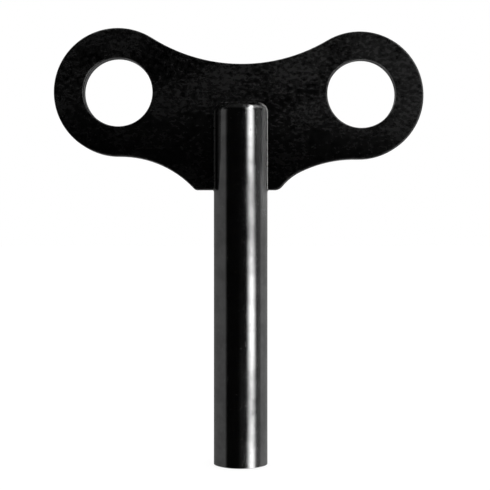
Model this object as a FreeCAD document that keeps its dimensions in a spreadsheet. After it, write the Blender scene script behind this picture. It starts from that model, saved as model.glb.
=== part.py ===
# Radiator bleed key: a stamped steel wing plate standing in the slotted top of a
# round turned stem, held there by silver braze, with a broached square socket in
# the stem's foot that fits the spindle of a radiator's air vent.
#
# Frame: millimetres, origin at the centre of the socket's mouth, +Z up the stem,
# X along the wings and Y across the plate's thickness.

import FreeCAD, Part
import math
import os
import Sketcher

Vector = FreeCAD.Vector

# ---------------------------------------------------------------- driving dimensions
DIMENSIONS = [
    # stem
    ("stem_diameter", 8.8, "round bar"),
    ("stem_length", 59.0, "mouth to the top of the two ears"),
    ("stem_top_round", 1.4, "turned round on the rim of the ears"),
    ("mouth_bevel_width", 0.5, "outer edge at the mouth, ground back at a shallow angle"),
    ("mouth_bevel_height", 0.15, ""),
    # square socket
    ("socket_across_flats", 5.15, "loose fit on a 5 mm square spindle"),
    ("socket_depth", 14.0, "length of the broached square"),
    ("socket_corner_round", 0.25, "corners left by the broach"),
    ("pilot_diameter", 5.4, "hole drilled before broaching"),
    ("pilot_depth", 20.0, "full diameter, leaves room for the chips"),
    ("drill_point_angle", 118.0, "cone at the bottom of the pilot hole"),
    ("lead_in_diameter", 6.5, "countersink that finds the spindle"),
    ("lead_in_angle", 90.0, "countersink's included angle"),
    # wing plate: offsets from the stem's axis, heights from the plate's lower edge
    ("plate_thickness", 2.5, "stamped sheet"),
    ("plate_edge_round", 0.3, "tumbled edges, both faces"),
    ("plate_foot_height", 45.0, "plate's lower edge above the stem's mouth"),
    ("left_ring_offset", 20.05, "centre of the left ring's outer round"),
    ("left_ring_height", 15.96, ""),
    ("left_ring_radius", 10.45, ""),
    ("right_ring_offset", 19.45, "centre of the right ring's outer round"),
    ("right_ring_height", 15.44, ""),
    ("right_ring_radius", 10.4, ""),
    ("finger_hole_diameter", 11.2, "both holes"),
    ("left_hole_offset", 20.0, ""),
    ("left_hole_height", 15.95, ""),
    ("right_hole_offset", 19.75, ""),
    ("right_hole_height", 15.7, ""),
    ("waist_radius", 27.4, "hollow top edge between the rings"),
    ("left_flank_radius", 16.5, "hollow edge under the left ring"),
    ("right_flank_radius", 20.2, "hollow edge under the right ring"),
    ("right_heel_radius", 9.0, "tighter lower end of that hollow"),
    ("right_heel_offset", 9.9, "where the heel runs into the flank"),
    ("left_shoulder", 7.1, "where the lower edge turns up into its left corner"),
    ("left_shoulder_round", 0.8, ""),
    ("right_shoulder", 5.6, "where the lower edge turns up into its right corner"),
    ("right_shoulder_round", 1.6, ""),
    # brazed joint
    ("braze_gap", 0.05, "film of filler on each face of the plate and under it"),
    ("braze_fillet", 0.35, "meniscus where the stem meets the plate"),
]


def make_sheet(doc):
    """Spreadsheet that drives every sub-part: name, value and note on each row."""
    sheet = doc.addObject("Spreadsheet::Sheet", "dims")
    for row, (alias, value, note) in enumerate(DIMENSIONS, start=1):
        sheet.set(f"A{row}", alias)
        sheet.set(f"B{row}", str(value))
        sheet.set(f"C{row}", note)
        sheet.setAlias(f"B{row}", alias)
    doc.recompute()
    return sheet


# ---------------------------------------------------------------- sketch helpers
def new_sketch(body, name, plane_role):
    """Empty sketch on one of the body's own origin planes."""
    sketch = body.newObject("Sketcher::SketchObject", name)
    planes = [feature for feature in body.Origin.OriginFeatures if feature.Role == plane_role]
    sketch.AttachmentSupport = [(planes[0], "")]
    sketch.MapMode = "FlatFace"
    return sketch


def constrain(sketch, name, expression, *rule):
    """Adds a dimension to the sketch and ties it to the spreadsheet."""
    index = sketch.addConstraint(Sketcher.Constraint(*rule))
    sketch.renameConstraint(index, name)
    sketch.setExpression(f"Constraints.{name}", expression)


def join(sketch, kind, *ends):
    """Fixes one curve's end to another's: Coincident for a corner, Tangent for a smooth run."""
    sketch.addConstraint(Sketcher.Constraint(kind, *ends))


def rough_arc(centre_x, centre_y, radius, start_degrees, end_degrees):
    """Arc drawn near its place, for the sketch's constraints to settle."""
    circle = Part.Circle(Vector(centre_x, centre_y, 0), Vector(0, 0, 1), radius)
    return Part.ArcOfCircle(circle, math.radians(start_degrees), math.radians(end_degrees))


def line(start, end):
    return Part.LineSegment(Vector(*start, 0), Vector(*end, 0))


# ---------------------------------------------------------------- sketch numbering
START, END, CENTRE = 1, 2, 3
X_AXIS = -1
Y_AXIS = -2
ORIGIN = (-1, START)
SAME_PLACE = 1e-3


# ---------------------------------------------------------------- sub-parts
def make_stem(doc):
    """Turned bar: slotted at the top, drilled, broached and countersunk at the foot."""
    body = doc.addObject("PartDesign::Body", "stem")
    body.Placement = FreeCAD.Placement()
    add_stem_bar(body)
    add_plate_slot(body)
    add_pilot_hole(doc, body)
    add_square_socket(body)
    return body


def add_stem_bar(body):
    """Half section of the bar, turned round the stem's axis."""
    sketch = new_sketch(body, "bar_section", "XZ_Plane")
    foot = sketch.addGeometry(line((0, 0), (3.9, 0)))
    bevel = sketch.addGeometry(line((3.9, 0), (4.4, 0.2)))
    side = sketch.addGeometry(line((4.4, 0.2), (4.4, 57.5)))
    shoulder = sketch.addGeometry(rough_arc(3, 57.5, 1.4, 0, 90))
    top = sketch.addGeometry(line((3, 58.9), (0, 58.9)))
    axis = sketch.addGeometry(line((0, 58.9), (0, 0)))
    join(sketch, "Coincident", foot, START, *ORIGIN)
    join(sketch, "Coincident", foot, END, bevel, START)
    join(sketch, "Coincident", bevel, END, side, START)
    join(sketch, "Tangent", side, END, shoulder, START)
    join(sketch, "Tangent", shoulder, END, top, START)
    join(sketch, "Coincident", top, END, axis, START)
    join(sketch, "Coincident", axis, END, foot, START)
    join(sketch, "Horizontal", foot)
    join(sketch, "Horizontal", top)
    join(sketch, "Vertical", side)
    join(sketch, "Vertical", axis)
    constrain(sketch, "bar_radius", "dims.stem_diameter / 2", "DistanceX", side, START, 4.4)
    constrain(sketch, "bar_length", "dims.stem_length", "DistanceY", axis, START, 58.9)
    constrain(sketch, "ear_round", "dims.stem_top_round", "Radius", shoulder, 1.4)
    constrain(sketch, "flat_mouth_radius", "dims.stem_diameter / 2 - dims.mouth_bevel_width",
              "DistanceX", foot, END, 3.9)
    constrain(sketch, "bevel_height", "dims.mouth_bevel_height", "DistanceY", side, START, 0.2)
    bar = body.newObject("PartDesign::Revolution", "bar")
    bar.Profile = sketch
    bar.ReferenceAxis = (sketch, ["V_Axis"])
    bar.Angle = 360


def add_plate_slot(body):
    """Open-topped slot milled along X, which leaves an ear in front and one behind."""
    sketch = new_sketch(body, "slot_outline", "YZ_Plane")
    floor = sketch.addGeometry(line((-1.3, 45), (1.3, 45)))
    right = sketch.addGeometry(line((1.3, 45), (1.3, 60)))
    top = sketch.addGeometry(line((1.3, 60), (-1.3, 60)))
    left = sketch.addGeometry(line((-1.3, 60), (-1.3, 45)))
    sides = [floor, right, top, left]
    for side, following in zip(sides, sides[1:] + sides[:1]):
        join(sketch, "Coincident", side, END, following, START)
    join(sketch, "Vertical", left)
    join(sketch, "Symmetric", floor, START, floor, END, Y_AXIS)
    join(sketch, "Symmetric", top, START, top, END, Y_AXIS)
    constrain(sketch, "slot_width", "dims.plate_thickness + 2 * dims.braze_gap",
              "DistanceX", floor, START, floor, END, 2.6)
    constrain(sketch, "slot_floor", "dims.plate_foot_height - dims.braze_gap",
              "DistanceY", floor, START, 45)
    constrain(sketch, "slot_open_top", "dims.stem_length + 1", "DistanceY", top, START, 60)
    slot = body.newObject("PartDesign::Pocket", "plate_slot")
    slot.Profile = sketch
    slot.Midplane = True
    slot.setExpression("Length", "dims.stem_diameter * 2")


def add_pilot_hole(doc, body):
    """Blind drilled hole up the stem, with its drill point and a lead-in countersink."""
    sketch = new_sketch(body, "pilot_centre", "XY_Plane")
    circle = sketch.addGeometry(Part.Circle(Vector(0, 0, 0), Vector(0, 0, 1), 2.7))
    join(sketch, "Coincident", circle, CENTRE, *ORIGIN)
    constrain(sketch, "pilot_diameter", "dims.pilot_diameter", "Diameter", circle, 5.4)
    doc.recompute()
    hole = body.newObject("PartDesign::Hole", "pilot_hole")
    hole.Profile = sketch
    hole.Reversed = True
    hole.DepthType = "Dimension"
    hole.DrillPoint = "Angled"
    hole.DrillForDepth = False
    hole.HoleCutType = "Countersink"
    hole.HoleCutCustomValues = True
    hole.setExpression("Diameter", "dims.pilot_diameter")
    hole.setExpression("Depth", "dims.pilot_depth")
    hole.setExpression("DrillPointAngle", "dims.drill_point_angle")
    hole.setExpression("HoleCutDiameter", "dims.lead_in_diameter")
    hole.setExpression("HoleCutCountersinkAngle", "dims.lead_in_angle")


def add_square_socket(body):
    """Square with rounded corners, broached up from the mouth round the pilot hole."""
    sketch = new_sketch(body, "socket_square", "XY_Plane")
    side_middles = [(0, -2.5), (2.5, 0), (0, 2.5), (-2.5, 0)]
    corner_centres = [(2.3, -2.3), (2.3, 2.3), (-2.3, 2.3), (-2.3, -2.3)]
    sides = []
    corners = []
    for turn, (middle, centre) in enumerate(zip(side_middles, corner_centres)):
        along = Vector(math.cos(turn * math.pi / 2), math.sin(turn * math.pi / 2), 0)
        middle = Vector(*middle, 0)
        sides.append(sketch.addGeometry(Part.LineSegment(middle - along * 2.3, middle + along * 2.3)))
        corners.append(sketch.addGeometry(rough_arc(*centre, 0.25, turn * 90 - 90, turn * 90)))
    for turn in range(4):
        join(sketch, "Tangent", sides[turn], END, corners[turn], START)
        join(sketch, "Tangent", corners[turn], END, sides[(turn + 1) % 4], START)
    for corner in corners[1:]:
        join(sketch, "Equal", corners[0], corner)
    join(sketch, "Horizontal", sides[0])
    join(sketch, "Vertical", sides[1])
    join(sketch, "Horizontal", sides[2])
    join(sketch, "Vertical", sides[3])
    join(sketch, "Symmetric", corners[0], CENTRE, corners[2], CENTRE, *ORIGIN)
    constrain(sketch, "corner_round", "dims.socket_corner_round", "Radius", corners[0], 0.25)
    constrain(sketch, "half_width", "dims.socket_across_flats / 2", "DistanceX", sides[1], START, 2.5)
    constrain(sketch, "half_height", "dims.socket_across_flats / 2", "DistanceY", sides[2], START, 2.5)
    socket = body.newObject("PartDesign::Pocket", "square_socket")
    socket.Profile = sketch
    socket.Reversed = True
    socket.setExpression("Length", "dims.socket_depth")


def make_wing_plate(doc):
    """Blanked and punched plate with tumbled edges, its lower edge on its own XY plane."""
    body = doc.addObject("PartDesign::Body", "wing_plate")
    body.setExpression("Placement.Base.z", "dims.plate_foot_height")
    add_wing_blank(body)
    add_finger_holes(body)
    doc.recompute()
    punched = body.Tip
    tumbled = body.newObject("PartDesign::Fillet", "tumbled_edges")
    tumbled.Base = (punched, face_rim_edges(punched.Shape))
    tumbled.setExpression("Radius", "dims.plate_edge_round")
    return body


def add_wing_blank(body):
    """Outline of tangent arcs: two rings, a hollow waist between them and two hollow flanks."""
    sketch = new_sketch(body, "wing_outline", "XZ_Plane")
    left_ring = sketch.addGeometry(rough_arc(-20, 16, 10, 58, 270))
    left_flank = sketch.addGeometry(rough_arc(-20, -11, 16, 42, 91))
    left_shoulder = sketch.addGeometry(rough_arc(-7.2, 0.5, 0.5, 222, 270))
    foot = sketch.addGeometry(line((-7.2, 0), (5.6, 0)))
    right_shoulder = sketch.addGeometry(rough_arc(5.6, 1.6, 1.6, 270, 322))
    right_heel = sketch.addGeometry(rough_arc(14, -5, 9, 118, 142))
    right_flank = sketch.addGeometry(rough_arc(18.6, -15, 20, 88, 118))
    right_ring = sketch.addGeometry(rough_arc(20, 16, 10, -93, 121))
    waist = sketch.addGeometry(rough_arc(0, 48, 27, 238, 301))
    join(sketch, "Tangent", left_ring, END, left_flank, END)
    join(sketch, "Tangent", left_flank, START, left_shoulder, START)
    join(sketch, "Tangent", left_shoulder, END, foot, START)
    join(sketch, "Tangent", foot, END, right_shoulder, START)
    join(sketch, "Tangent", right_shoulder, END, right_heel, END)
    join(sketch, "Tangent", right_heel, START, right_flank, END)
    join(sketch, "Tangent", right_flank, START, right_ring, START)
    join(sketch, "Tangent", right_ring, END, waist, END)
    join(sketch, "Tangent", waist, START, left_ring, START)
    join(sketch, "Horizontal", foot)
    constrain(sketch, "left_offset", "-dims.left_ring_offset",
              "DistanceX", left_ring, CENTRE, -20)
    constrain(sketch, "left_height", "dims.left_ring_height",
              "DistanceY", left_ring, CENTRE, 16)
    constrain(sketch, "left_radius", "dims.left_ring_radius", "Radius", left_ring, 10)
    constrain(sketch, "right_offset", "dims.right_ring_offset",
              "DistanceX", right_ring, CENTRE, 20)
    constrain(sketch, "right_height", "dims.right_ring_height",
              "DistanceY", right_ring, CENTRE, 16)
    constrain(sketch, "right_radius", "dims.right_ring_radius", "Radius", right_ring, 10)
    constrain(sketch, "waist_radius", "dims.waist_radius", "Radius", waist, 27)
    constrain(sketch, "left_flank_radius", "dims.left_flank_radius", "Radius", left_flank, 16)
    constrain(sketch, "right_flank_radius", "dims.right_flank_radius", "Radius", right_flank, 20)
    constrain(sketch, "heel_radius", "dims.right_heel_radius", "Radius", right_heel, 9)
    constrain(sketch, "heel_offset", "dims.right_heel_offset", "DistanceX", right_heel, START, 10)
    join(sketch, "PointOnObject", foot, START, X_AXIS)
    constrain(sketch, "left_shoulder", "-dims.left_shoulder", "DistanceX", foot, START, -7)
    constrain(sketch, "right_shoulder", "dims.right_shoulder", "DistanceX", foot, END, 6)
    constrain(sketch, "left_round", "dims.left_shoulder_round", "Radius", left_shoulder, 0.5)
    constrain(sketch, "right_round", "dims.right_shoulder_round", "Radius", right_shoulder, 1.6)
    blank = body.newObject("PartDesign::Pad", "blank")
    blank.Profile = sketch
    blank.Midplane = True
    blank.setExpression("Length", "dims.plate_thickness")


def add_finger_holes(body):
    """Two round holes punched through the rings."""
    sketch = new_sketch(body, "finger_hole_centres", "XZ_Plane")
    left = sketch.addGeometry(Part.Circle(Vector(-20, 16, 0), Vector(0, 0, 1), 6))
    right = sketch.addGeometry(Part.Circle(Vector(20, 16, 0), Vector(0, 0, 1), 6))
    join(sketch, "Equal", left, right)
    constrain(sketch, "hole_diameter", "dims.finger_hole_diameter", "Diameter", left, 12)
    constrain(sketch, "left_offset", "-dims.left_hole_offset", "DistanceX", left, CENTRE, -20)
    constrain(sketch, "left_height", "dims.left_hole_height", "DistanceY", left, CENTRE, 16)
    constrain(sketch, "right_offset", "dims.right_hole_offset", "DistanceX", right, CENTRE, 20)
    constrain(sketch, "right_height", "dims.right_hole_height", "DistanceY", right, CENTRE, 16)
    holes = body.newObject("PartDesign::Pocket", "finger_holes")
    holes.Profile = sketch
    holes.Midplane = True
    holes.setExpression("Length", "dims.plate_thickness * 2")


def face_rim_edges(shape):
    """Names of the edges that bound the plate's two flat faces: the only ones not along Y."""
    names = []
    for number, edge in enumerate(shape.Edges, start=1):
        if edge.BoundBox.YLength < SAME_PLACE:
            names.append(f"Edge{number}")
    return names


def make_braze_joint(doc, sheet, stem, wing_plate):
    """Filler metal: a film between the plate and the slot, and a meniscus round both ears."""
    core = doc.addObject("Part::Cylinder", "ear_core")
    core.setExpression("Radius", "dims.stem_diameter / 2")
    core.setExpression("Height", "dims.stem_length - dims.plate_foot_height + dims.stem_diameter")
    core.setExpression("Placement.Base.z", "dims.plate_foot_height - dims.stem_diameter")
    doc.recompute()
    ear_core = add_fillet(doc, "rounded_ear_core", core, top_rim(core.Shape), sheet.stem_top_round)
    joined = doc.addObject("Part::Fuse", "ears_and_plate")
    joined.Base = ear_core
    joined.Tool = wing_plate
    doc.recompute()
    seam = shared_edges(joined.Shape, ear_core.Shape, wing_plate.Shape)
    wetted = add_fillet(doc, "ears_and_plate_wetted", joined, seam, sheet.braze_fillet)
    without_stem = doc.addObject("Part::Cut", "braze_and_plate")
    without_stem.Base = wetted
    without_stem.Tool = stem
    braze = doc.addObject("Part::Cut", "braze_joint")
    braze.Base = without_stem
    braze.Tool = wing_plate
    braze.Placement = FreeCAD.Placement()
    return braze


def add_fillet(doc, name, base, edge_numbers, radius):
    """Part fillet of one radius on the numbered edges."""
    fillet = doc.addObject("Part::Fillet", name)
    fillet.Base = base
    fillet.Edges = [(number, radius, radius) for number in edge_numbers]
    doc.recompute()
    return fillet


def top_rim(shape):
    """Numbers of the edges that lie at the shape's highest level."""
    top = shape.BoundBox.ZMax
    return [number for number, edge in enumerate(shape.Edges, start=1)
            if edge.BoundBox.ZMin > top - SAME_PLACE]


def shared_edges(joined, first, second):
    """Numbers of the joined shape's edges that lie on the skins of both shapes it was made from."""
    numbers = []
    for number, edge in enumerate(joined.Edges, start=1):
        middle = Part.Vertex(edge.valueAt((edge.FirstParameter + edge.LastParameter) / 2))
        gaps = [middle.distToShape(shape.Shells[0])[0] for shape in (first, second)]
        if max(gaps) < SAME_PLACE:
            numbers.append(number)
    return numbers


# ---------------------------------------------------------------- checks and files
def check_document(doc):
    """Stops the macro if any object failed to recompute or any sketch is loose."""
    for item in doc.Objects:
        if "Invalid" in item.State or "Error" in item.State:
            raise RuntimeError(f"{item.Label} did not recompute: {item.State}")
        if item.isDerivedFrom("Sketcher::SketchObject") and not item.FullyConstrained:
            raise RuntimeError(f"{item.Label} is not fully constrained")


def write_step(part):
    """Writes one sub-part to its own file once its shape has been checked."""
    if part.Shape.isNull() or not part.Shape.isValid() or len(part.Shape.Solids) != 1:
        raise RuntimeError(f"{part.Label} is not one valid solid")
    part.Shape.exportStep(f"parts/{part.Label}.step")
    print(part.Label, round(part.Shape.Volume, 1), "mm3")


def main():
    doc = FreeCAD.newDocument("radiator_bleed_key")
    sheet = make_sheet(doc)
    stem = make_stem(doc)
    wing_plate = make_wing_plate(doc)
    doc.recompute()
    braze_joint = make_braze_joint(doc, sheet, stem, wing_plate)
    doc.recompute()
    check_document(doc)
    os.makedirs("parts", exist_ok=True)
    for part in (stem, wing_plate, braze_joint):
        write_step(part)


main()
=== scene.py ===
# Studio picture of the radiator bleed key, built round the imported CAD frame.
# Metres, +Z up. The key stands on its mouth and the camera looks along +Y.

from collections import namedtuple
import bpy
import math
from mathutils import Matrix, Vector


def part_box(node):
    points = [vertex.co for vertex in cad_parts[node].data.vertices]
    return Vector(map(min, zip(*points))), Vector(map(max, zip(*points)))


MM = 0.001
HALF_TURN = 180.0

# ---------------------------------------------------------------- camera and stage
CAMERA_DISTANCE = 0.190
CAMERA_HEIGHT = 0.03598
CAMERA_SIDESTEP = 0.00071
CAMERA_LENS = 85.08
SENSOR_WIDTH = 36.0
CLIP_START = 0.01
CLIP_END = 100
FLOOR_SIZE = 40.0
FLOOR_GREY = 0.12
FLOOR_ROUGHNESS = 0.9
FLOOR_GLOW = 0.87
BACKGROUND = 1.0
SUN_STRENGTH = 2.2
SUN_WIDTH = 40

# ---------------------------------------------------------------- studio
# Soft panels round the key. Compass directions and half widths are in degrees to the right of
# the camera's side, and lowest and highest are elevations.
Panel = namedtuple("Panel", "centre half_width softness lowest highest brightness")
KEY_STRIP = Panel(48.5, 12.5, 13, -50, 66, 4.6)
PANELS = [
    Panel(138, 42, 8, -50, 62, 0.30),     # wide panel behind on the right
    Panel(86, 14, 12, -50, 62, 0.12),     # spill between it and the key strip
    Panel(-123, 57, 6, -50, 22, 0.155),   # wide panel behind on the left
    Panel(-145, 10, 8, -60, -18, 2.2),    # low strip, for the back seen from above
    Panel(-20, 40, 10, -60, -20, 0.10),   # low panel in front
    Panel(10, 12, 8, -60, -4, 0.020),     # the key strip's spill towards the camera
    Panel(-135, 40, 12, 12, 35, 0.45),    # raised panel behind, for faces that look up
    Panel(0, 200, 1, -90, -66, 0.20),     # glow from below, for the mouth and the socket
]
# Stretches of elevation where the key strip is dimmer: lowest, highest, share lost.
STRIP_GAPS = [
    (-0.9, 4.5, 0.76),
    (-8.9, -6.4, 0.95),
]
GAP_SOFTNESS = 0.4
# Above the key's middle the strip stands a few degrees nearer the camera and is narrower. Towards
# its top it leans back over the key: degrees at the top, and how sharply it bends.
STRIP_STEP = -5.0
STRIP_PINCH = 0.15
STRIP_STEP_FROM = 1.5
STRIP_STEP_TO = 5.5
STRIP_LEAN = 52
STRIP_LEAN_POWER = 4
PANEL_SHARE_ON_MATT = 0.35
ROOM_DARK = 0.004
ELEVATION_SOFTNESS = 6
CEILING_FROM = 38
CEILING_FULL = 52
CEILING_SHEEN = 0.02
CEILING_BRIGHTNESS = 1.4

# ---------------------------------------------------------------- finishes
# For each finish: its greys, how strongly a mark covers the grey under it, its roughness (two
# levels of the plain surface, then what each mark adds), and the depth of its bumps in mm. The
# plate's blotches are shares of a fine mottle and of larger patches.
# The steel's third grey is a painted sheen on the right flank; the roughness added there is real.
STEEL_GREY = dict(dark=0.26, light=0.33, painted_sheen_flank=0.52, rubbed=0.62, scored=0.50, pitted=0.10,
                  inside=0.13)
STEEL_SHOW = dict(rubbed=0.55, scored=0.3)
STEEL_ROUGHNESS = dict(best=0.11, worst=0.15, smeared=0.07, rubbed=0.10, pitted=0.25, painted_sheen_flank=0.30,
                       inside=0.25)
STEEL_BUMP_MM = dict(turning=0.002, marks=0.004)

# The plate's first two greys are painted light and shade, greyer and less black towards the right;
# the others are marks.
PLATE_GREY = dict(painted_lit_grey=0.037, painted_light_black=0.006, torn=0.030, scored=0.060, rubbed=0.075)
PLATE_SHOW = dict(torn=0.5, scored=0.15, rubbed=0.5)
PLATE_ROUGHNESS = dict(dark=0.21, fleck=0.30, torn=0.25, rubbed=0.08)
PLATE_BUMP_MM = dict(grain=0.012, tearing=0.05, scratches=0.002)
PLATE_SPECULAR = 0.4
PLATE_BLOTCH = dict(mottle=0.65, patches=0.35)

BRAZE_DARK = (0.130, 0.129, 0.127, 1.0)
BRAZE_LIGHT = (0.200, 0.198, 0.195, 1.0)
BRAZE_ROUGHNESS = dict(least=0.24, most=0.36)
BRAZE_BUMP_MM = 0.012

# Where the marks lie, in mm. Each pair is the start and the end of a gradual change.
EAR_RIM_BELOW_TOP = (1.6, 0.9)
MOUTH_RIM = (0.05, 0.45)
# How far the painted sheen on the right flank reaches below the plate and above its foot.
PAINTED_SHEEN_BELOW_PLATE = 9
PAINTED_SHEEN_ABOVE_FOOT = 3
SOCKET_RADIUS = (3.80, 3.90)
SOCKET_FROM = 0.06
SOCKET_DEPTH = 22
SOCKET_SOFTNESS = 0.05
# Where the painted light on the plate lies: from the left, from the foot, and across the plate for
# the lifted black.
PAINTED_LIGHT_FROM_LEFT = 8
PAINTED_LIGHT_FROM_FOOT = (5, 16)
PAINTED_LIGHT_BLACK_ACROSS = (8, 22)
TEAR_WAVINESS = 0.5

# Where the marks lie, by the way the surface faces: parts of the normal along one axis.
# the right flank, which carries the painted sheen
PAINTED_SHEEN_FACING = (0.70, 0.84)
EAR_RIM_LIFT = (0.30, 0.92)
PLATE_RIM_FLATNESS = (0.25, 0.90)
PLATE_WALL_FLATNESS = (0.15, 0.30)
RIM_SOFTNESS = 0.12

# Painted light and shade on the plate, greyer towards the upper right and blacker towards the lower
# left:
# weakest and strongest from left to right and from the foot up, and how much the line along the foot
# rises to the left.
PAINTED_LIGHT_ACROSS = (0.45, 1.15)
PAINTED_LIGHT_UP = (0.03, 1.0)
PAINTED_LIGHT_TILT = 0.06
# The torn band of the sheared edge, as shares of the plate's thickness from the front.
TORN = (0.45, 0.62)

# Scratches are the peaks of a fine drawn-out noise inside the peaks of a coarse one. The noises'
# lumps are in scratch widths.
SCRATCH_LINE_SIZE = 3
SCRATCH_GROUP_SIZE = 40
SCRATCH_LINE_PEAK = (0.74, 0.82)
SCRATCH_GROUP_PEAK = (0.48, 0.60)

# A Mix node has sockets for every data type: the type, its inputs and its output.
MIX_COLOURS = ("RGBA", (0, 6, 7), 2)
MIX_NUMBERS = ("FLOAT", (0, 2, 3), 0)


# ---------------------------------------------------------------- node helpers
class Tree:
    """Short calls for building one node tree."""

    def __init__(self, node_tree):
        self.tree = node_tree
        self.tree.nodes.clear()

    def add(self, kind, **settings):
        """Adds a node and sets its properties."""
        node = self.tree.nodes.new(kind)
        for key, value in settings.items():
            setattr(node, key, value)
        return node

    def plug(self, socket, value):
        """Links a socket or sets its value."""
        if isinstance(value, bpy.types.NodeSocket):
            self.tree.links.new(value, socket)
        else:
            socket.default_value = value

    def feed(self, node, **inputs):
        """Sets or links a node's inputs; an underscore in a name stands for a space."""
        for key, value in inputs.items():
            self.plug(node.inputs[key.replace("_", " ")], value)
        return node

    def math(self, operation, *values):
        """Math node's result for numbers or sockets."""
        node = self.add("ShaderNodeMath", operation=operation)
        for socket, value in zip(node.inputs, values):
            self.plug(socket, value)
        return node.outputs[0]

    def product(self, *values):
        """All the values multiplied."""
        result = values[0]
        for value in values[1:]:
            result = self.math("MULTIPLY", result, value)
        return result

    def total(self, *values):
        """All the values added up."""
        result = values[0]
        for value in values[1:]:
            result = self.math("ADD", result, value)
        return result

    def smooth(self, value, low, high, out_low=0.0, out_high=1.0):
        """Smooth step from out_low to out_high while value goes from low to high."""
        node = self.add("ShaderNodeMapRange", interpolation_type="SMOOTHSTEP")
        self.feed(node, Value=value, From_Min=low, From_Max=high, To_Min=out_low, To_Max=out_high)
        return node.outputs[0]

    def fade(self, value, low, high):
        """Smooth step down from 1 to 0 while value goes from low to high."""
        return self.smooth(value, low, high, 1.0, 0.0)

    def window(self, value, lowest, highest, softness):
        """1 between two limits and 0 outside them, with soft ends."""
        above = self.smooth(value, lowest - softness, lowest + softness)
        below = self.fade(value, highest - softness, highest + softness)
        return self.product(above, below)

    def parts(self, vector):
        """X, Y and Z of a vector."""
        return self.feed(self.add("ShaderNodeSeparateXYZ"), Vector=vector).outputs

    def noise(self, place, size_mm, detail=3.0, roughness=0.5):
        """Noise whose lumps are about size_mm across."""
        node = self.add("ShaderNodeTexNoise")
        self.feed(node, Vector=place, Scale=1.0 / (size_mm * MM), Detail=detail,
                  Roughness=roughness)
        return node.outputs["Fac"]

    def drawn_out(self, place, stretch, turn=(0.0, 0.0, 0.0)):
        """Coordinates turned by degrees, then drawn out along each axis, for streaks."""
        node = self.add("ShaderNodeMapping", vector_type="TEXTURE")
        self.feed(node, Vector=place, Scale=stretch,
                  Rotation=tuple(math.radians(angle) for angle in turn))
        return node.outputs[0]

    def scratches(self, place, width_mm, stretch, turn):
        """Sparse thin straight lines along the turned Z axis, 0 to 1."""
        drawn = self.drawn_out(place, (1.0, 1.0, stretch), turn)
        lines = self.noise(drawn, width_mm * SCRATCH_LINE_SIZE, detail=0.0)
        groups = self.noise(place, width_mm * SCRATCH_GROUP_SIZE, detail=1.0)
        return self.product(self.smooth(lines, *SCRATCH_LINE_PEAK),
                            self.smooth(groups, *SCRATCH_GROUP_PEAK))

    def blend(self, share, first, second, kind=MIX_COLOURS):
        """Mix of two colours, or of two numbers with MIX_NUMBERS."""
        data_type, inputs, output = kind
        node = self.add("ShaderNodeMix", data_type=data_type)
        for index, value in zip(inputs, (share, first, second)):
            self.plug(node.inputs[index], value)
        return node.outputs[output]

    def bump(self, height, depth_mm, normal=None):
        """Bump of a given depth from a 0 to 1 height."""
        node = self.add("ShaderNodeBump")
        self.feed(node, Height=height, Distance=depth_mm * MM, Strength=1.0)
        if normal is not None:
            self.feed(node, Normal=normal)
        return node.outputs[0]


def grey(level):
    """Opaque grey colour."""
    return (level, level, level, 1.0)


def new_material(name):
    """Empty material, its node tree, and the object's own coordinates and normals."""
    material = bpy.data.materials.new(name)
    material.use_nodes = True
    tree = Tree(material.node_tree)
    coordinates = tree.add("ShaderNodeTexCoord").outputs
    return material, tree, coordinates["Object"], coordinates["Normal"]


def close_material(tree, **inputs):
    """Ends a material in one Principled shader."""
    shader = tree.add("ShaderNodeBsdfPrincipled")
    tree.feed(shader, **inputs)
    output = tree.add("ShaderNodeOutputMaterial")
    tree.feed(output, Surface=shader.outputs[0])


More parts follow.
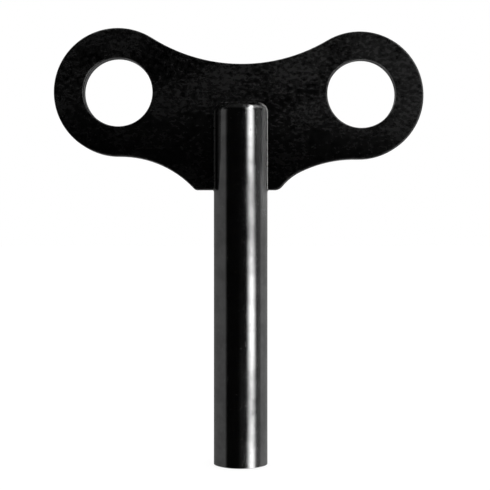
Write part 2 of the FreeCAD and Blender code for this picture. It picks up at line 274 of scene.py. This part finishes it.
# ---------------------------------------------------------------- materials
def blackened_steel(stem_box, plate_foot):
    """Bar turned, polished and blackened: fine rings, rubs and scratches, its rims rubbed bright,
    and a painted sheen on its right flank.
    """
    material, tree, place, facing = new_material("blackened_steel")
    mouth, top = stem_box[0][2], stem_box[1][2]
    x, y, height = tree.parts(place)
    sideways, _, lift = tree.parts(facing)
    # rings from turning, streaks along the bar, clouds in the blackening, and smears
    rings = tree.noise(tree.drawn_out(place, stretch=(20.0, 20.0, 1.0)),
                       size_mm=0.12, detail=4.0, roughness=0.6)
    streaks = tree.noise(tree.drawn_out(place, stretch=(1.0, 1.0, 33.0)),
                         size_mm=0.25, detail=3.0, roughness=0.6)
    cloud = tree.noise(place, size_mm=2.5, detail=4.0, roughness=0.6)
    smear = tree.noise(tree.drawn_out(place, stretch=(1.0, 1.0, 2.5)),
                       size_mm=5.0, detail=3.0, roughness=0.55)
    scratches = tree.total(
        tree.scratches(place, width_mm=0.05, stretch=30.0, turn=(12.0, 10.0, 0.0)),
        tree.scratches(place, width_mm=0.04, stretch=24.0, turn=(-28.0, -35.0, 0.0)))
    pits = tree.smooth(tree.noise(place, size_mm=0.35, detail=2.0), low=0.70, high=0.80)
    # rims: the round on the ears, and the mouth with its bevel
    near_top = tree.smooth(height, *(top - below * MM for below in EAR_RIM_BELOW_TOP))
    near_mouth = tree.fade(height, *(mouth + above * MM for above in MOUTH_RIM))
    tilted = tree.window(tree.math("ABSOLUTE", lift), *EAR_RIM_LIFT, RIM_SOFTNESS)
    rim = tree.math("MAXIMUM", tree.product(near_top, tilted), near_mouth)
    patchy = tree.smooth(tree.noise(place, size_mm=0.9, detail=5.0, roughness=0.65),
                         low=0.38, high=0.62)
    rub = tree.product(rim, patchy)
    # painted sheen and real roughness: the right flank, on the key strip's side, made lighter and
    # rougher beside the brazed joint, and less and less below it
    painted_sheen_flank = tree.product(tree.smooth(sideways, *PAINTED_SHEEN_FACING),
                         tree.smooth(height, plate_foot - PAINTED_SHEEN_BELOW_PLATE * MM,
                                     plate_foot + PAINTED_SHEEN_ABOVE_FOOT * MM))
    # the socket's walls: a duller broached and drilled surface
    radius = tree.math("SQRT", tree.total(tree.product(x, x), tree.product(y, y)))
    inside = tree.product(tree.fade(radius, *(limit * MM for limit in SOCKET_RADIUS)),
                          tree.window(height, mouth + SOCKET_FROM * MM,
                                      mouth + SOCKET_DEPTH * MM, SOCKET_SOFTNESS * MM))
    polished = tree.blend(tree.smooth(cloud, low=0.35, high=0.65),
                          grey(STEEL_GREY["dark"]), grey(STEEL_GREY["light"]))
    with_painted_sheen = tree.blend(painted_sheen_flank, polished, grey(STEEL_GREY["painted_sheen_flank"]))
    rubbed = tree.blend(tree.product(rub, STEEL_SHOW["rubbed"]), with_painted_sheen,
                        grey(STEEL_GREY["rubbed"]))
    scored = tree.blend(tree.product(scratches, STEEL_SHOW["scored"]), rubbed,
                        grey(STEEL_GREY["scored"]))
    pitted = tree.blend(pits, scored, grey(STEEL_GREY["pitted"]))
    base = tree.blend(inside, pitted, grey(STEEL_GREY["inside"]))
    gloss = tree.smooth(tree.total(cloud, streaks), low=0.6, high=1.4,
                        out_low=STEEL_ROUGHNESS["best"], out_high=STEEL_ROUGHNESS["worst"])
    smeared = tree.total(gloss, tree.smooth(smear, low=0.45, high=0.75, out_low=0.0,
                                            out_high=STEEL_ROUGHNESS["smeared"]))
    worn = tree.total(smeared,
                      tree.product(rub, STEEL_ROUGHNESS["rubbed"]),
                      tree.product(pits, STEEL_ROUGHNESS["pitted"]),
                      tree.product(painted_sheen_flank, STEEL_ROUGHNESS["painted_sheen_flank"]))
    roughness = tree.total(worn, tree.product(inside, STEEL_ROUGHNESS["inside"]))
    turning = tree.bump(tree.total(rings, streaks), STEEL_BUMP_MM["turning"])
    sound = tree.math("SUBTRACT", 1.0, tree.total(scratches, pits))
    normal = tree.bump(sound, STEEL_BUMP_MM["marks"], turning)
    close_material(tree, Base_Color=base, Metallic=1.0, Roughness=roughness, Normal=normal)
    return material


def matte_black_finish(plate_box):
    """Matte black on blanked sheet: fine grain, grey mottle, rubbed rims, a sheared edge, and
    painted light greying it towards the upper right.
    """
    material, tree, place, facing = new_material("matte_black_finish")
    left, front, foot = plate_box[0]
    right, back, _ = plate_box[1]
    thickness = back - front
    across, through, up = tree.parts(place)
    flatness = tree.math("ABSOLUTE", tree.parts(facing)[1])
    mottle = tree.noise(tree.drawn_out(place, stretch=(1.5, 1.0, 1.0)),
                        size_mm=0.6, detail=3.0, roughness=0.55)
    patches = tree.noise(tree.drawn_out(place, stretch=(1.5, 1.0, 1.0)),
                         size_mm=4.0, detail=2.0, roughness=0.5)
    grain = tree.noise(place, size_mm=0.30, detail=3.0, roughness=0.6)
    blotch = tree.total(tree.product(mottle, PLATE_BLOTCH["mottle"]),
                        tree.product(patches, PLATE_BLOTCH["patches"]))
    fleck = tree.smooth(blotch, low=0.36, high=0.68)
    # painted light and shade: the finish is greyed most on the right and hardly at all along the
    # foot, darkest at the lower left
    tilted = tree.total(up, tree.product(across, PAINTED_LIGHT_TILT))
    painted_light_share = tree.product(
        tree.smooth(across, left + PAINTED_LIGHT_FROM_LEFT * MM, right, *PAINTED_LIGHT_ACROSS),
        tree.smooth(tilted, *(foot + above * MM for above in PAINTED_LIGHT_FROM_FOOT), *PAINTED_LIGHT_UP))
    # rims of the two faces, and the wall between them: a smooth sheared band, then a torn one
    rim = tree.window(flatness, *PLATE_RIM_FLATNESS, RIM_SOFTNESS)
    patchy = tree.smooth(tree.noise(place, size_mm=1.3, detail=5.0, roughness=0.7),
                         low=0.42, high=0.66)
    rub = tree.product(rim, patchy)
    wall = tree.fade(flatness, *PLATE_WALL_FLATNESS)
    wavy = tree.total(through, tree.product(mottle, TEAR_WAVINESS * MM))
    torn = tree.product(wall, tree.smooth(wavy, *(front + thickness * share for share in TORN)))
    tearing = tree.noise(tree.drawn_out(place, stretch=(1.0, 4.0, 1.0)),
                         size_mm=0.22, detail=4.0, roughness=0.65)
    scratches = tree.total(
        tree.scratches(place, width_mm=0.05, stretch=36.0, turn=(0.0, 62.0, 0.0)),
        tree.scratches(place, width_mm=0.06, stretch=28.0, turn=(0.0, -38.0, 0.0)))
    # painted light: the black under the flecks is lifted towards the right
    painted_light_black = tree.smooth(across, *(limit * MM for limit in PAINTED_LIGHT_BLACK_ACROSS), 0.0,
                          PLATE_GREY["painted_light_black"])
    black = tree.product(painted_light_share, painted_light_black)
    finish = tree.blend(fleck, black, tree.product(painted_light_share, PLATE_GREY["painted_lit_grey"]))
    edged = tree.blend(tree.product(torn, PLATE_SHOW["torn"]), finish, grey(PLATE_GREY["torn"]))
    scored = tree.blend(tree.product(scratches, PLATE_SHOW["scored"]), edged,
                        grey(PLATE_GREY["scored"]))
    base = tree.blend(tree.product(rub, PLATE_SHOW["rubbed"]), scored, grey(PLATE_GREY["rubbed"]))
    gloss = tree.smooth(fleck, low=0.0, high=1.0, out_low=PLATE_ROUGHNESS["dark"],
                        out_high=PLATE_ROUGHNESS["fleck"])
    roughness = tree.total(gloss,
                           tree.product(torn, PLATE_ROUGHNESS["torn"]),
                           tree.product(rub, PLATE_ROUGHNESS["rubbed"]))
    grained = tree.bump(tree.total(grain, mottle), PLATE_BUMP_MM["grain"])
    sheared = tree.bump(tree.product(tearing, torn), PLATE_BUMP_MM["tearing"], grained)
    sound = tree.math("SUBTRACT", 1.0, scratches)
    normal = tree.bump(sound, PLATE_BUMP_MM["scratches"], sheared)
    close_material(tree, Base_Color=base, Roughness=roughness, Normal=normal,
                   Specular_IOR_Level=PLATE_SPECULAR)
    return material


def blackened_braze():
    """Filler metal blackened with the key: rippled and duller than the stem."""
    material, tree, place, _ = new_material("blackened_braze")
    cloud = tree.noise(place, size_mm=0.6, detail=4.0, roughness=0.6)
    ripple = tree.noise(place, size_mm=0.25, detail=3.0, roughness=0.5)
    base = tree.blend(cloud, BRAZE_DARK, BRAZE_LIGHT)
    roughness = tree.smooth(cloud, low=0.3, high=0.7, out_low=BRAZE_ROUGHNESS["least"],
                            out_high=BRAZE_ROUGHNESS["most"])
    normal = tree.bump(tree.total(cloud, ripple), BRAZE_BUMP_MM)
    close_material(tree, Base_Color=base, Metallic=1.0, Roughness=roughness, Normal=normal)
    return material


def white_floor():
    """Milk-white table lit from below, so that only a trace of the key's shadow is left."""
    material, tree, _, _ = new_material("white_floor")
    close_material(tree, Base_Color=grey(FLOOR_GREY), Roughness=FLOOR_ROUGHNESS,
                   Specular_IOR_Level=0.0, Emission_Color=grey(1.0),
                   Emission_Strength=FLOOR_GLOW)
    return material


# ---------------------------------------------------------------- lights and camera
def panel_light(tree, azimuth, elevation, panel):
    """Brightness that one panel adds in a direction, from 0 to its own brightness."""
    turned = tree.math("SUBTRACT", azimuth, panel.centre)
    off_centre = tree.math("WRAP", turned, HALF_TURN, -HALF_TURN)
    across = tree.window(off_centre, -panel.half_width, panel.half_width, panel.softness)
    upright = tree.window(elevation, panel.lowest, panel.highest, ELEVATION_SOFTNESS)
    return tree.product(across, upright, panel.brightness)


def key_strip_light(tree, azimuth, elevation):
    """The bright strip in front on the right, leaning back as it rises, with two dimmer gaps."""
    rise = tree.math("DIVIDE", tree.math("MAXIMUM", elevation, 0.0), KEY_STRIP.highest)
    lean = tree.product(tree.math("POWER", rise, STRIP_LEAN_POWER), STRIP_LEAN)
    step = tree.smooth(elevation, STRIP_STEP_FROM, STRIP_STEP_TO)
    middle = tree.total(KEY_STRIP.centre, lean, tree.product(step, STRIP_STEP))
    pinch = tree.math("MULTIPLY_ADD", step, STRIP_PINCH, 1.0)
    off_centre = tree.product(tree.math("SUBTRACT", azimuth, middle), pinch)
    light = panel_light(tree, tree.total(off_centre, KEY_STRIP.centre), elevation, KEY_STRIP)
    for low, high, loss in STRIP_GAPS:
        gap = tree.window(elevation, low, high, GAP_SOFTNESS)
        light = tree.product(light, tree.math("MULTIPLY_ADD", gap, -loss, 1.0))
    return light


def make_world():
    """Studio surroundings: panels in a dark room under a white ceiling, plain white seen directly.

    Matt surfaces get the whole ceiling and a share of the panels; glossy ones the reverse.
    """
    world = bpy.data.worlds.new("studio")
    world.use_nodes = True
    bpy.context.scene.world = world
    world.cycles.sampling_method = "NONE"
    tree = Tree(world.node_tree)
    east, north, up = tree.parts(tree.add("ShaderNodeTexCoord").outputs["Generated"])
    azimuth = tree.math("DEGREES", tree.math("ARCTAN2", east, tree.product(north, -1.0)))
    elevation = tree.math("DEGREES", tree.math("ARCSINE", up))
    paths = tree.add("ShaderNodeLightPath").outputs
    on_matt = paths["Is Diffuse Ray"]
    panels = key_strip_light(tree, azimuth, elevation)
    for panel in PANELS:
        panels = tree.total(panels, panel_light(tree, azimuth, elevation, panel))
    panel_share = tree.math("MULTIPLY_ADD", on_matt, PANEL_SHARE_ON_MATT - 1.0, 1.0)
    ceiling_level = tree.math("MULTIPLY_ADD", on_matt, CEILING_BRIGHTNESS - CEILING_SHEEN,
                              CEILING_SHEEN)
    ceiling = tree.product(tree.smooth(elevation, CEILING_FROM, CEILING_FULL), ceiling_level)
    room = tree.total(tree.product(panels, panel_share), ceiling, ROOM_DARK)
    strength = tree.blend(paths["Is Camera Ray"], room, BACKGROUND, MIX_NUMBERS)
    background = tree.feed(tree.add("ShaderNodeBackground"), Color=grey(1.0), Strength=strength)
    tree.feed(tree.add("ShaderNodeOutputWorld"), Surface=background.outputs[0])


def make_floor():
    """The table: it gives the key its contact shadow and doesn't light it or show in it."""
    bpy.ops.mesh.primitive_plane_add(size=FLOOR_SIZE)
    floor = bpy.context.object
    floor.name = "floor"
    floor.data.materials.append(white_floor())
    floor.visible_glossy = False
    floor.visible_diffuse = False


def make_overhead_light():
    """Large soft light straight above, for the key's faint shadow on the floor."""
    light = bpy.data.lights.new("overhead", "SUN")
    light.energy = SUN_STRENGTH
    light.angle = math.radians(SUN_WIDTH)
    lamp = bpy.data.objects.new("overhead", light)
    lamp.visible_glossy = False
    bpy.context.scene.collection.objects.link(lamp)


def make_camera():
    """Level camera square to the plate, at the height of the key's middle."""
    data = bpy.data.cameras.new("camera")
    data.lens = CAMERA_LENS
    data.sensor_width = SENSOR_WIDTH
    data.clip_start = CLIP_START
    data.clip_end = CLIP_END
    camera = bpy.data.objects.new("camera", data)
    camera.location = (CAMERA_SIDESTEP, -CAMERA_DISTANCE, CAMERA_HEIGHT)
    camera.rotation_euler = (math.radians(90), 0, 0)
    bpy.context.scene.collection.objects.link(camera)
    bpy.context.scene.camera = camera


# ---------------------------------------------------------------- dressing the CAD nodes
def dress(frame, node, material):
    """Gives a CAD node its finished material."""
    for slot in frame["nodes"][node].material_slots:
        slot.material = material


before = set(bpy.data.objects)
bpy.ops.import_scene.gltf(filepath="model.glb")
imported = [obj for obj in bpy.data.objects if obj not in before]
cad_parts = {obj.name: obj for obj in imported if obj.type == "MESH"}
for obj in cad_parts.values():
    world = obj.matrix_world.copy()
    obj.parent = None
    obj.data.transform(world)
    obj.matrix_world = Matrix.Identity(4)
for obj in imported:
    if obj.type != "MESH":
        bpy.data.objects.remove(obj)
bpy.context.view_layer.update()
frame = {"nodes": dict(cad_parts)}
make_camera()
make_world()
make_floor()
make_overhead_light()
bpy.context.scene.view_settings.view_transform = "Standard"
dress(frame, "stem", blackened_steel(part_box("stem"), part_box("wing_plate")[0][2]))
dress(frame, "wing_plate", matte_black_finish(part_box("wing_plate")))
dress(frame, "braze_joint", blackened_braze())
